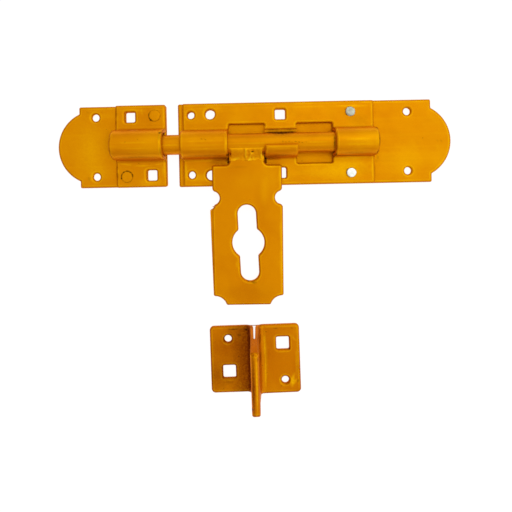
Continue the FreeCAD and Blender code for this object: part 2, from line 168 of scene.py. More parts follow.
def turnedSkin(outline, axis, steps):
    # a full turn of an outline, whose points are given along X and Z
    bm = bmesh.new()
    verts = [bm.verts.new((x, 0, z)) for x, z in outline]
    edges = [bm.edges.new(pair) for pair in zip(verts, verts[1:])]
    bmesh.ops.spin(bm, geom=verts + edges, cent=(0, 0, 0), axis=axis, angle=math.tau,
                   steps=steps, use_merge=True)
    bmesh.ops.remove_doubles(bm, verts=bm.verts, dist=meshWork["cutWithin"])
    bmesh.ops.recalc_face_normals(bm, faces=bm.faces)
    return bm


# each mark is x, y, half length and half width in mm, its turn in degrees and its strength
markShape = {
    "reach": 1.6,
    "ragged": 0.22,
    "raggedScale": 620,
    "seedX": 0.37,
    "seedY": 0.11,
    "arcEvery": 14,  # degrees between the marks of an arc
    "arcLength": 0.24,  # of its radius
    "arcFade": (0.65, 0.35, 2.6),
}


def markAt(co, mark):
    # how much of one mark a point gets
    x, y, length, width, turn, strength = mark
    dx = co.x * 1000 - x
    dy = co.y * 1000 - y
    if max(abs(dx), abs(dy)) > markShape["reach"] * max(length, width):
        return 0.0
    c = math.cos(math.radians(turn))
    s = math.sin(math.radians(turn))
    seed = x * markShape["seedX"] + y * markShape["seedY"]
    place = Vector((co.x * markShape["raggedScale"], co.y * markShape["raggedScale"], seed))
    away = math.hypot((dx * c + dy * s) / length, (dy * c - dx * s) / width)
    away = max(0.0, min(1.0, away + markShape["ragged"] * noise.noise(place)))
    return strength * (1 - away * away) ** 2


def arcMarks(x, y, radius, start, stop, width, strength):
    # marks in a broken arc, as round a rivet: angles in degrees from +X
    steps = max(2, int(abs(stop - start) / markShape["arcEvery"]))
    base, swing, turn = markShape["arcFade"]
    marks = []
    for i in range(steps + 1):
        a = math.radians(start + (stop - start) * i / steps)
        marks.append((x + radius * math.cos(a), y + radius * math.sin(a),
                      radius * markShape["arcLength"], width, math.degrees(a) + 90,
                      strength * (base + swing * math.sin(turn * i + x))))
    return marks


def paintMarks(bm, layerName, marks, lowest=meshWork["plateMarksFrom"]):
    layer = bm.verts.layers.float.new(layerName)
    for v in bm.verts:
        if v.co.z >= lowest and v.normal.z >= meshWork["paintFacing"]:
            v[layer] = min(1.0, sum(markAt(v.co, mark) for mark in marks))


def dentSheet(bm, dents, lowest):
    # strength is the height in millimetres here, below 0 for a dent
    bm.normal_update()
    moves = []
    for v in bm.verts:
        if v.co.z >= lowest and v.normal.z >= meshWork["dentFacing"]:
            moves.append((v, v.normal * sum(markAt(v.co, dent) for dent in dents) * 0.001))
    for v, move in moves:
        v.co += move


def markSheet(bm, spec, lowest=meshWork["plateMarksFrom"]):
    dentSheet(bm, spec["dents"], lowest)
    paintMarks(bm, "highlight_and_rub", spec["highlight_and_rub"], lowest)
    paintMarks(bm, "grime_and_shade", spec["grime_and_shade"], lowest)


def putInScene(name, data):
    obj = bpy.data.objects.new(name, data)
    bpy.context.scene.collection.objects.link(obj)
    return obj


def addPiece(name, bm, body, material, nodeName, sharpAngle=meshWork["sharpFrom"]):
    for v in bm.verts:
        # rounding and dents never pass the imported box
        v.co = [max(a, min(b, c)) for a, b, c in zip(cadLow, cadHigh, v.co)]
    mesh = bpy.data.meshes.new(name)
    bm.to_mesh(mesh)
    bm.free()
    mesh.materials.clear()
    mesh.materials.append(material)
    mesh.shade_smooth()
    mesh.set_sharp_from_angle(angle=math.radians(sharpAngle))
    obj = putInScene(name, mesh)
    obj.modifiers.new("flatFaces", "WEIGHTED_NORMAL").keep_sharp = True
    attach(obj, body)
    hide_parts(nodeName)
    print(name, "has", len(mesh.polygons), "faces")


def addNode(tree, kind, feeds=None, **settings):
    # a node with its settings, then a plain value or a link for each socket that feeds names
    node = tree.nodes.new("ShaderNode" + kind)
    for label, value in settings.items():
        setattr(node, label, value)
    for label, source in (feeds or {}).items():
        if isinstance(source, bpy.types.NodeSocket):
            tree.links.new(source, node.inputs[label])
        else:
            node.inputs[label].default_value = source
    return node


def objectPlace(tree):
    return addNode(tree, "TexCoord").outputs["Object"]


def painted(tree, layerName):
    return addNode(tree, "Attribute", attribute_name=layerName).outputs["Fac"]


def noiseOf(tree, place, scale, detail=2.0, roughness=0.5):
    return addNode(tree, "TexNoise", {"Vector": place, "Scale": scale, "Detail": detail,
                                      "Roughness": roughness}).outputs["Fac"]


def mathOf(tree, operation, first, second=0.5, clamp=False):
    return addNode(tree, "Math", {0: first, 1: second}, operation=operation,
                   use_clamp=clamp).outputs[0]


def rangeOf(tree, value, fromMin, fromMax, toMin=0.0, toMax=1.0, smooth=False):
    feeds = {"Value": value, "From Min": fromMin, "From Max": fromMax, "To Min": toMin,
             "To Max": toMax}
    kind = "SMOOTHSTEP" if smooth else "LINEAR"
    return addNode(tree, "MapRange", feeds, interpolation_type=kind).outputs["Result"]


def mixOf(tree, share, first, second):
    feeds = {"Factor": share, "A": first, "B": second}
    return addNode(tree, "Mix", feeds, data_type="RGBA").outputs["Result"]


def newGroup(name, inputs, outputs, outKind="NodeSocketFloat"):
    group = bpy.data.node_groups.new(name, "ShaderNodeTree")
    for label, value in inputs.items():
        kind = "NodeSocketColor" if isinstance(value, tuple) else "NodeSocketFloat"
        socket = group.interface.new_socket(name=label, in_out="INPUT", socket_type=kind)
        socket.default_value = value
    for label in outputs:
        group.interface.new_socket(name=label, in_out="OUTPUT", socket_type=outKind)
    given = group.nodes.new("NodeGroupInput")
    wanted = group.nodes.new("NodeGroupOutput")
    return group, given.outputs, wanted.inputs


def useGroup(tree, group, values):
    return addNode(tree, "Group", values, node_tree=group).outputs


# bands are the parts of a noise that count: from and to, and then what they become
patternShape = {
    "cloudDetail": 4.0,
    "cloudRoughness": 0.55,
    "grainDetail": 3.0,
    "paleBand": (0.52, 0.72),
    "deepBand": (0.46, 0.28),
    "lineBand": (0.55, 0.7),
    "patchBand": (0.35, 0.65),
    "gritScale": 700.0,
    "gritBand": (0.3, 0.6, 0.7, 1.1),
    "fullyRolled": 0.2,  # millimetres from the edge
}


def buildPlatingTone():
    # cloudy yellow and amber of a passivated coat, with a fine grain over it
    tree, given, wanted = newGroup("platingTone", {
        "Coat": (0.7, 0.24, 0.001, 1), "Pale": (0.82, 0.36, 0.001, 1),
        "Deep": (0.55, 0.15, 0.001, 1), "Cloud Scale": 28.0, "Grain Scale": 900.0,
        "Grain": 0.25}, ["Color"], "NodeSocketColor")
    place = objectPlace(tree)
    cloud = noiseOf(tree, place, given["Cloud Scale"], patternShape["cloudDetail"],
                    patternShape["cloudRoughness"])
    grain = noiseOf(tree, place, given["Grain Scale"], patternShape["grainDetail"])
    pale = rangeOf(tree, cloud, *patternShape["paleBand"])
    deep = rangeOf(tree, cloud, *patternShape["deepBand"])
    tone = mixOf(tree, pale, given["Coat"], given["Pale"])
    tone = mixOf(tree, deep, tone, given["Deep"])
    tone = mixOf(tree, mathOf(tree, "MULTIPLY", grain, given["Grain"]), tone, given["Deep"])
    tree.links.new(tone, wanted["Color"])
    return tree


def buildRollLines():
    # long faint ridges that the press and the draw bench leave along X, as relief, and a mask for
    # a painted sheen along them
    tree, given, wanted = newGroup("rollLines", {"Across": 260.0, "Along": 5.0},
                                   ["Height", "Mask"])
    place = addNode(tree, "SeparateXYZ", {0: objectPlace(tree)}).outputs
    stretched = {axis: mathOf(tree, "MULTIPLY", place[axis], given[way])
                 for axis, way in (("X", "Along"), ("Y", "Across"), ("Z", "Across"))}
    lines = noiseOf(tree, addNode(tree, "CombineXYZ", stretched).outputs[0], 1.0)
    tree.links.new(lines, wanted["Height"])
    tree.links.new(rangeOf(tree, lines, *patternShape["lineBand"]), wanted["Mask"])
    return tree


def buildSpecks():
    # small dark pits, far apart
    tree, given, wanted = newGroup("specks", {"Scale": 160.0, "Size": 0.1, "Share": 0.1},
                                   ["Mask"])
    cells = addNode(tree, "TexVoronoi", {"Vector": objectPlace(tree),
                                         "Scale": given["Scale"]}).outputs
    near = mathOf(tree, "LESS_THAN", cells["Distance"], given["Size"])
    lot = addNode(tree, "SeparateColor", {0: cells["Color"]}).outputs[0]
    chosen = mathOf(tree, "LESS_THAN", lot, given["Share"])
    tree.links.new(mathOf(tree, "MULTIPLY", near, chosen), wanted["Mask"])
    return tree


def buildRimShadingAndMarks():
    # painted highlight lines and painted shade along the rims, and the marks painted on the
    # points
    tree, given, wanted = newGroup(
        "rimShadingAndMarks", {"Patch Scale": 90.0, "Steady": 0.5, "Line At": 1.9, "Line Width": 0.9},
        ["Rim Highlight", "Rim Shade", "Rolled", "Drop", "Highlight_And_Rub", "Grime_And_Shade", "Shade"])
    place = objectPlace(tree)
    patches = rangeOf(tree, noiseOf(tree, place, given["Patch Scale"]),
                      *patternShape["patchBand"], given["Steady"])
    away = painted(tree, "rimAway")
    # the painted highlight line runs a little way in from each edge, and patches break it up
    aside = mathOf(tree, "ABSOLUTE", mathOf(tree, "SUBTRACT", away, given["Line At"]))
    line = rangeOf(tree, aside, given["Line Width"], 0.0, smooth=True)
    # outside the line the sheet rolls over: the relief drops there, and painted shade darkens it
    # towards the very edge
    rolled = rangeOf(tree, away, given["Line At"], patternShape["fullyRolled"], smooth=True)
    results = {
        "Rim Highlight": mathOf(tree, "MULTIPLY", line, patches),
        "Rolled": rolled,
        "Drop": mathOf(tree, "MULTIPLY", rolled, -1.0),
        "Rim Shade": rangeOf(tree, painted(tree, "rim"), 0.0, -1.0),
    }
    grit = rangeOf(tree, noiseOf(tree, place, patternShape["gritScale"]),
                   *patternShape["gritBand"])
    for label in ("Highlight_And_Rub", "Grime_And_Shade", "Shade"):
        results[label] = mathOf(tree, "MULTIPLY", painted(tree, label.lower()), grit, clamp=True)
    for label, result in results.items():
        tree.links.new(result, wanted[label])
    return tree


platingTone = buildPlatingTone()
rollLines = buildRollLines()
specks = buildSpecks()
rimShadingAndMarks = buildRimShadingAndMarks()
print("node groups built")


def newMaterial(name, values):
    # a material with plain values on its Principled shader's own sockets
    mat = bpy.data.materials.new(name)
    mat.use_nodes = True
    shader = mat.node_tree.nodes["Principled BSDF"]
    for label, value in values.items():
        shader.inputs[label].default_value = value
    return mat, mat.node_tree, shader


def addRelief(tree, shader, height, strength, distance):
    feeds = {"Height": height, "Strength": strength, "Distance": distance}
    tree.links.new(addNode(tree, "Bump", feeds).outputs["Normal"], shader.inputs["Normal"])


def rgb(red, green, blue):
    # a colour given in sRGB, 0 to 255
    def linear(c):
        c = c / 255
        return c / 12.92 if c <= 0.04045 else ((c + 0.055) / 1.055) ** 2.4
    return (linear(red), linear(green), linear(blue), 1.0)


platedLook = {
    "metallic": 0.68,
    "whiteGloss": 0.15,
    "coat": rgb(222, 140, 2),
    "pale": rgb(230, 154, 2),
    "deep": rgb(212, 126, 2),
    # painted highlight colour for the rim lines and the rubbed patches
    "edge": rgb(246, 184, 4),
    # painted shade colour for the rolled rims and the strips that turn away
    "rimShadeColour": rgb(150, 74, 4),
    "grazing": rgb(236, 172, 10),
    # dark pits, and dark marks that are partly grime and partly painted shade
    "grimeAndShadeDark": rgb(40, 16, 2),
    # painted shade colour
    "shaded": rgb(116, 42, 2),
    "shadeTint": 1.0,
    "cloudScale": 26.0,
    "grainScale": 1100.0,
    "grain": 0.3,
    "lineAcross": 260.0,
    "lineAlong": 5.0,
    # painted sheen along the roll lines
    "lineTint": 0.25,
    "lineRelief": 0.06,
    # patches that break up the painted highlight line along the rims
    "rimPatchScale": 90.0,
    "rimPatchSteady": 0.25,
    # painted highlight line along the rims
    "wornTint": 0.5,
    "lineAt": 1.8,
    "lineWidth": 0.9,
    # painted shade on the rolled rims
    "rolledShadeTint": 0.12,
    "rollDepth": 0.38,
    # painted shade on the rim strips that turn away
    "rimShadeTint": 0.45,
    # painted highlights and lighter rubbed patches
    "highlightAndRubTint": 0.8,
    # dark marks, partly grime and partly painted shade
    "grimeAndShadeTint": 0.95,
    "speckScale": 230.0,
    "speckSize": 0.1,
    "speckShare": 0.05,
    "speckTint": 0.4,
    "reliefScale": 420.0,
    "reliefDetail": 5.0,
    "relief": 0.04,
    "swayScale": 70.0,
    "swayDetail": 1.0,
    "sway": 0.6,
    "bumpStrength": 1.0,
    "bumpDepth": 0.001,
    "roughLow": 0.34,
    "roughHigh": 0.46,
}


def platedSteel(name, **changes):
    look = dict(platedLook, **changes)
    mat, tree, shader = newMaterial(name, {
        "Metallic": look["metallic"], "Specular IOR Level": look["whiteGloss"],
        "Specular Tint": look["grazing"]})
    colour = useGroup(tree, platingTone, {
        "Coat": look["coat"], "Pale": look["pale"], "Deep": look["deep"],
        "Cloud Scale": look["cloudScale"], "Grain Scale": look["grainScale"],
        "Grain": look["grain"]})["Color"]
    lines = useGroup(tree, rollLines, {"Across": look["lineAcross"], "Along": look["lineAlong"]})
    rimPaint = useGroup(tree, rimShadingAndMarks, {
        "Patch Scale": look["rimPatchScale"], "Steady": look["rimPatchSteady"],
        "Line At": look["lineAt"], "Line Width": look["lineWidth"]})
    pits = useGroup(tree, specks, {
        "Scale": look["speckScale"], "Size": look["speckSize"], "Share": look["speckShare"]})
    # painted sheen along the roll lines, painted highlights on rims and rubbed patches, then
    # painted shade, painted shade at the rims, dark pits, and dark marks that are partly grime
    # and partly painted shade
    for source, share, tint in (
            (lines["Mask"], "lineTint", "pale"), (rimPaint["Highlight_And_Rub"], "highlightAndRubTint", "edge"),
            (rimPaint["Rim Highlight"], "wornTint", "edge"), (rimPaint["Shade"], "shadeTint", "shaded"),
            (rimPaint["Rolled"], "rolledShadeTint", "rimShadeColour"), (rimPaint["Rim Shade"], "rimShadeTint", "rimShadeColour"),
            (pits["Mask"], "speckTint", "grimeAndShadeDark"), (rimPaint["Grime_And_Shade"], "grimeAndShadeTint", "grimeAndShadeDark")):
        colour = mixOf(tree, mathOf(tree, "MULTIPLY", source, look[share]), colour, look[tint])
    tree.links.new(colour, shader.inputs["Base Color"])
    # roughness and relief
    place = objectPlace(tree)
    blotch = noiseOf(tree, place, look["reliefScale"], look["reliefDetail"])
    sway = noiseOf(tree, place, look["swayScale"], look["swayDetail"])
    gloss = rangeOf(tree, blotch, 0.0, 1.0, look["roughLow"], look["roughHigh"])
    tree.links.new(gloss, shader.inputs["Roughness"])
    height = mathOf(tree, "MULTIPLY", lines["Height"], look["lineRelief"])
    for source, depth in ((blotch, "relief"), (sway, "sway"), (rimPaint["Drop"], "rollDepth")):
        layer = mathOf(tree, "MULTIPLY", source, look[depth])
        height = mathOf(tree, "ADD", height, layer)
    addRelief(tree, shader, height, look["bumpStrength"], look["bumpDepth"])
    return mat


platedSheet = platedSteel("platedSheet")
platedArch = platedSteel("platedArch", lineTint=0.4, lineRelief=0.12)
platedRod = platedSteel("platedRod", lineTint=0.45, lineRelief=0.1, lineAcross=420.0)
platedHandle = platedSteel("platedHandle", cloudScale=18.0, lineTint=0.0, lineRelief=0.0)
platedWeld = platedSteel(
    "platedWeld", coat=rgb(242, 166, 4), pale=rgb(250, 184, 8), deep=rgb(232, 148, 2),
    edge=rgb(255, 214, 24), reliefScale=900.0, relief=0.12, lineTint=0.0)
platedStaple = platedSteel(
    "platedStaple", coat=rgb(208, 122, 2), pale=rgb(222, 142, 2), deep=rgb(186, 98, 2),
    speckShare=0.12, speckScale=260.0, speckTint=0.7, relief=0.09, lineTint=0.0,
    lineRelief=0.0, wornTint=0.38)

bareLook = {
    "bare": rgb(243, 244, 236),
    "bright": rgb(254, 255, 250),
    "dull": rgb(214, 216, 206),
    "cloudScale": 240.0,
    "grainScale": 1500.0,
    "grain": 0.2,
    "dentScale": 420.0,
    "bumpDepth": 0.0002,
    "bumpStrength": 0.8,
    "roughLow": 0.3,
    "roughHigh": 0.46,
}


def bareSteel(name, **changes):
    look = dict(bareLook, **changes)
    mat, tree, shader = newMaterial(name, {"Metallic": 1.0})
    tone = useGroup(tree, platingTone, {
        "Coat": look["bare"], "Pale": look["bright"], "Deep": look["dull"],
        "Cloud Scale": look["cloudScale"], "Grain Scale": look["grainScale"],
        "Grain": look["grain"]})
    tree.links.new(tone["Color"], shader.inputs["Base Color"])
    feeds = {"Vector": objectPlace(tree), "Scale": look["dentScale"]}
    dents = addNode(tree, "TexVoronoi", feeds, feature="SMOOTH_F1").outputs["Distance"]
    gloss = rangeOf(tree, dents, 0.0, 1.0, look["roughLow"], look["roughHigh"])
    tree.links.new(gloss, shader.inputs["Roughness"])
    addRelief(tree, shader, dents, look["bumpStrength"], look["bumpDepth"])
    return mat


bareRivetBright = bareSteel("bareRivetBright")
# the upper rivet takes the same bare steel in darker colours
bareRivetDarker = bareSteel("bareRivetDarker", bare=rgb(178, 177, 161), bright=rgb(202, 201, 187),
                          dull=rgb(144, 145, 130))
print("materials built")


def backPlatePiece(name, nodeName, spec):
    bm, rims = roundedSheet(nodeName, spec)
    measureRims(bm, rims)
    markSheet(bm, spec)
    addPiece(name, bm, "body", platedSheet, nodeName)


backPlate = {
    "edge": 0.0009,
    "step": 0.0015,
    # painted highlights and lighter patches, then small dark spots and painted shade in the gaps
    # at the cover's ends
    "highlight_and_rub": [(100, -14, 26, 18, 20, 0.3), (-83.0, 14, 15, 0.8, 90, 0.5),
               (-83.6, -22, 10, 0.8, 90, 0.5), (104, 32, 18, 1.0, 0, 0.5),
               (129.2, -5.0, 4.5, 0.8, 90, 0.5)],
    "grime_and_shade": [(132.2, -0.5, 1.5, 0.9, 70, 0.5), (129.6, 0.3, 1.2, 0.9, 0, 0.5),
             (80.6, -4, 8, 1.2, 90, 0.5), (79.8, -14, 5, 1.4, 70, 0.3),
             (95.5, -1.0, 0.7, 0.5, 0, 0.5), (113, -1.5, 0.8, 0.5, 30, 0.35),
             (78.2, 24, 9, 0.7, 90, 0.25), (77.4, -24, 9, 0.7, 90, 0.25)],
    "dents": [],
}
backPlatePiece("bodyBackPlate", "body_back_plate", backPlate)

cover = {
    "edge": 0.0008,
    "step": 0.0010,
    "rivetClear": 0.0062,
    # painted shade in dark arcs round the rivets: from and to in degrees and strength
    "arcs": [(110, 220, 0.8), (140, 245, 1.2)],
    "arcRadius": 4.3,
    "arcWidth": 0.7,
    "lipHalf": 0.0132,
    "lipFrom": 0.005,
    "lipTo": 0.0145,
    # painted highlights: bands near the long edges, the lower right flange, lines along arches
    # and pressed rims
    "highlight_and_rub": [(58, 29.4, 19, 1.3, 0, 0.8), (22, 29.4, 22, 1.0, 0, 0.45),
               (-60, 29.4, 20, 1.0, 0, 0.45), (-15, 29.3, 30, 0.8, 0, 0.3),
               (46, -23, 36, 11, 0, 0.6), (60, -18, 18, 5, 0, 0.35),
               (-77.8, -22, 11, 1.2, 90, 0.8), (-66, -27, 13, 5, 0, 0.45),
               (74.6, -22, 10, 0.8, 90, 0.5), (-61, 1.3, 20, 0.7, 0, 0.6),
               (-61, -4.6, 20, 0.6, 0, 0.7), (-61, -1.8, 20, 1.2, 0, 0.25),
               (60, 0.8, 18, 1.8, 0, 0.6), (60, -3.3, 17, 0.5, 0, 0.5),
               (60, -4.7, 17, 0.45, 0, 0.5), (60, -6.1, 16, 0.5, 0, 0.4),
               (-43.0, 0, 9, 0.7, 90, 0.9), (73.9, -1, 7, 0.8, 90, 0.7),
               (-0.5, 26.9, 6.5, 0.9, 0, 0.5), (-28, 17.9, 14, 0.7, 0, 0.4),
               (28, 17.9, 14, 0.7, 0, 0.7), (28, -17.8, 15, 0.7, 0, 0.6),
               (0, 12.7, 16, 0.9, 0, 0.6), (12.2, -15, 3, 0.6, 90, 0.5),
               (0, -5.5, 12, 1.2, 0, 0.3), (-61, 12.6, 24, 1.1, 0, 0.4),
               (-61, -12.4, 24, 1.6, 0, 0.7), (60, 12.6, 20, 1.1, 0, 0.3),
               (60, -12.4, 20, 1.6, 0, 0.7), (60, -1.6, 20, 3.6, 0, 0.25)],
    # painted shade under the arches, beside the handle and in the gap over the bolt, and small
    # dark spots
    "grime_and_shade": [(-61, -9.7, 24, 1.3, 0, 0.32), (-52, -14.5, 11, 2.2, 0, 0.3),
             (0, -10.2, 15, 1.2, 0, 0.35), (60, -9.6, 19, 1.4, 0, 0.3), (64, 18, 14, 7, 0, 0.12),
             (0, 32.6, 90, 1.2, 0, 0.12), (-67.1, 1.4, 0.6, 0.45, 0, 0.9),
             (-62.5, 3.2, 0.9, 0.5, 20, 0.9), (-61.0, 3.5, 0.7, 0.45, 20, 0.8),
             (-59.3, 2.5, 0.7, 0.45, -20, 0.8), (-44.8, 2.0, 0.7, 0.45, 0, 0.8),
             (-43.8, 4.2, 0.8, 0.5, 60, 0.8), (-47.0, 24.0, 0.6, 0.4, 0, 0.5),
             (-36.6, 24.0, 0.5, 0.4, 0, 0.5), (-43.0, -9.4, 1.5, 0.8, 60, 1.0),
             (-44.0, -13.6, 2.0, 0.7, 90, 0.9), (76.0, 0, 7.5, 0.5, 90, 0.9),
             (75.3, 9.6, 2.4, 1.6, 60, 0.4), (75.6, -9.3, 3.2, 0.7, 60, 0.6),
             (43.4, -10.6, 2.4, 0.8, 80, 0.9), (42.9, -6, 4, 0.5, 90, 0.5),
             (0, 8.8, 14.4, 0.8, 0, 1.0), (-6, 8.8, 8.6, 0.8, 0, 1.0),
             (6.5, 8.8, 8.4, 0.9, 0, 1.0), (0, 10.8, 13, 1.9, 0, 0.35),
             (-8.5, 10.8, 9.5, 1.9, 0, 0.5), (8.5, 10.8, 9.5, 1.9, 0, 0.5)],
    "dents": [(-60, 31.8, 22, 1.9, 0, -0.14), (58, 31.8, 20, 1.9, 0, -0.2),
              (10, 31.8, 44, 1.6, 0, -0.12), (-0.2, 24, 8.5, 8.0, 0, 0.16),
              (-73.2, 24.5, 6, 6, 0, 0.14), (-73.2, -24.5, 6, 6, 0, 0.12),
              (58, -24, 16, 7, 0, -0.1)],
}
coverRivets = [sum(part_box(node), Vector()) / 2
               for node in ("body_rivet_upper", "body_rivet_lower")]
for centre, (start, stop, strength) in zip(coverRivets, cover["arcs"]):
    cover["grime_and_shade"] += arcMarks(centre.x * 1000, centre.y * 1000, cover["arcRadius"], start, stop,
                              cover["arcWidth"], strength)


def onOpenEdge(p):
    # the edges of the rivets' holes and of the free lip stay as they are
    if abs(p.x) < cover["lipHalf"] and cover["lipFrom"] < p.y < cover["lipTo"]:
        return False
    return all(math.hypot(p.x - c.x, p.y - c.y) > cover["rivetClear"] for c in coverRivets)


bm, rims = roundedSheet("body_cover", cover, onOpenEdge)
measureRims(bm, rims)
markSheet(bm, cover, meshWork["coverMarksFrom"])
addPiece("bodyCover", bm, "body", platedArch, "body_cover")

keeperPlate = {
    "edge": 0.0009,
    "step": 0.0015,
    # painted highlights, lighter towards the left, then painted shade by the arch's end and small
    # dark marks
    "highlight_and_rub": [(-158, -2, 38, 26, 90, 0.4), (-156, -6, 26, 10, 100, 0.2),
               (-150, -22, 16, 8, 0, 0.3), (-150, 31, 13, 1.2, 0, 0.35),
               (-145, 26, 12, 4, 0, 0.2)],
    "grime_and_shade": [(-141.5, 3, 14, 5.5, 90, 0.16), (-138.2, -2, 12, 1.6, 90, 0.2),
             (-159.5, 28.5, 2.0, 0.8, 40, 0.3), (-146, 29, 0.7, 0.5, 0, 0.4),
             (-158.6, -26, 2.2, 0.7, 80, 0.3)],
    "dents": [(-152.3, 24.5, 6.5, 6.5, 0, -0.2), (-152.3, -24.5, 5.5, 5.5, 0, -0.14)],
}
backPlatePiece("keeperBackPlate", "keeper_back_plate", keeperPlate)

strap = {
    "edge": 0.0009,
    "step": 0.0009,
    "ripple": 0.0005,
    "rippleReach": 0.0016,
    "rippleScale": 260,
    "rivets": [(-0.1028, 0.0248), (-0.1262, -0.0248)],
    "rivetClear": 0.0055,
    "refineWithin": 0.006,
    # painted shade in dark arcs round the rivets: which rivet, from and to in degrees, half width
    # and strength
    "arcs": [(0, 150, 250, 0.8, 1.2), (0, 265, 495, 0.6, 0.4), (1, 10, 195, 0.85, 1.4),
             (1, 208, 357, 0.7, 0.6)],
    "arcRadius": 4.65,
    "chip": (-106.0, 21.4, 1.3, 1.0, 45, 1.4),
    # painted highlights along the flanges and the arch, then painted shade under the arch and
    # small dark marks
    "highlight_and_rub": [(-121, 29.4, 14, 1.3, 0, 0.7), (-101, 30, 8, 1.2, 0, 0.4),
               (-113, 27.8, 4, 1.2, 100, 0.35), (-107, -29.5, 15, 4, 0, 0.55),
               (-96.5, -20, 6, 1.5, 80, 0.5), (-127, -14.6, 9, 0.8, -8, 0.8),
               (-114, -15.9, 9, 0.9, -2, 0.8), (-102, -15.2, 9, 0.8, 7, 0.7),
               (-133.4, -22, 9, 0.7, 90, 0.5), (-115, 1.4, 21, 0.8, 0, 0.6),
               (-115, -3.1, 21, 0.6, 0, 0.5), (-115, -6, 21, 0.5, 0, 0.35)],
    "grime_and_shade": [(-115, -9.6, 22, 1.4, 0, 0.3), (-95.4, 9.0, 1.7, 1.2, 30, 1.0),
             (-95.4, 5, 4.0, 0.8, 90, 0.5), (-94.9, -6, 5.0, 0.6, 90, 0.4),
             (-134.4, 8, 6, 0.8, 90, 0.3), (-134.2, -6, 7, 0.9, 90, 0.35),
             (-115, 12.6, 18, 1.0, 0, 0.2), (-109.8, -13.9, 0.6, 0.4, 0, 0.7),
             (-116.4, -14, 0.5, 0.4, 0, 0.7), (-112, 3.5, 0.6, 0.5, 0, 0.6),
             (-101.8, 3.2, 0.5, 0.4, 0, 0.5)],
    "dents": [(-115, 31.6, 20, 1.9, 0, -0.16), (-126.4, -24.6, 8, 7, 0, 0.12),
              (-102.8, 24.8, 7, 6.5, 0, 0.1), (-113, -18.4, 20, 2.2, 0, -0.16),
              (-106, -30, 14, 3, 0, -0.1)],
}
keeperRings = [strap["chip"]]
for which, start, stop, width, strength in strap["arcs"]:
    x, y = strap["rivets"][which]
    keeperRings += arcMarks(x * 1000, y * 1000, strap["arcRadius"], start, stop, width, strength)
strap["grime_and_shade"] += keeperRings
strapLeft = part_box("keeper_strap")[0].x


def clearOfRivets(p):
    return all(math.hypot(p.x - x, p.y - y) > strap["rivetClear"] for x, y in strap["rivets"])


def refineNear(bm, spots, radius):
    # finer faces round the rivets, for the thin dark arcs
    edges = set()
    for f in bm.faces:
        middle = f.calc_center_median()
        near = any(math.hypot(middle.x - x, middle.y - y) < radius for x, y in spots)
        if near and f.normal.z > meshWork["gridFacing"]:
            edges.update(f.edges)
    bmesh.ops.subdivide_edges(bm, edges=list(edges), cuts=2, use_grid_fill=True)


bm, rims = roundedSheet("keeper_strap", strap, clearOfRivets)
refineNear(bm, strap["rivets"], strap["refineWithin"])
measureRims(bm, rims)
for v in bm.verts:
    # a sheared edge that runs a little in and out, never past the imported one
    if v.co.x < strapLeft + strap["rippleReach"]:
        wave = noise.noise(Vector((0.3, v.co.y * strap["rippleScale"], 0.7)))
        v.co.x += strap["ripple"] * (0.5 + wave)
markSheet(bm, strap, meshWork["coverMarksFrom"])
addPiece("keeperStrap", bm, "body", platedArch, "keeper_strap")


# the slope's points are shares of the slope inwards and of the crown down from the top
rivetShape = {
    "foot": 0.0003,
    "slopePoints": [(0.35, 0.35), (1.0, 0.06)],
    "flatShare": 0.45,
    "steps": 40,
    "dentFrom": 0.9,
    "dentScale": 420,
    "sharpAngle": 60,
}


def rivetPiece(name, nodeName, spec, material):
    low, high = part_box(nodeName)
    radius = (high.x - low.x) / 2
    foot = rivetShape["foot"]
    outline = [(0.0, low.z), (radius - foot, low.z), (radius, low.z + foot),
               (radius, high.z - spec["crown"]),
               *[(radius - spec["slope"] * inwards, high.z - spec["crown"] * down)
                 for inwards, down in rivetShape["slopePoints"]],
               (radius * rivetShape["flatShare"], high.z), (0.0, high.z)]
    bm = turnedSkin(outline, (0, 0, 1), rivetShape["steps"])
    # hammering leaves the crown uneven, never above the CAD head
    for v in bm.verts:
        if v.co.z > high.z - spec["crown"] * rivetShape["dentFrom"]:
            place = Vector((v.co.x, v.co.y, spec["seed"])) * rivetShape["dentScale"]
            v.co.z -= abs(noise.noise(place)) * spec["dent"]
    centre = (low + high) / 2
    bmesh.ops.translate(bm, verts=bm.verts, vec=(centre.x, centre.y, 0))
    bm.normal_update()
    measureRims(bm)
    paintMarks(bm, "grime_and_shade", spec["grime_and_shade"])
    addPiece(name, bm, "body", material, nodeName, rivetShape["sharpAngle"])


bodyRivet = {"crown": 0.0005, "slope": 0.0012, "dent": 0.00025, "seed": 0.013, "grime_and_shade": []}
rivetPiece("bodyRivetUpper", "body_rivet_upper", bodyRivet, bareRivetDarker)
rivetPiece("bodyRivetLower", "body_rivet_lower", dict(bodyRivet, seed=0.031),
           bareRivetBright)
keeperRivet = {"crown": 0.0002, "slope": 0.0009, "dent": 0.0002, "seed": 0.052,
               "grime_and_shade": keeperRings}
rivetPiece("keeperRivetUpper", "keeper_rivet_upper", keeperRivet, platedHandle)
rivetPiece("keeperRivetLower", "keeper_rivet_lower", dict(keeperRivet, seed=0.077),
           platedHandle)

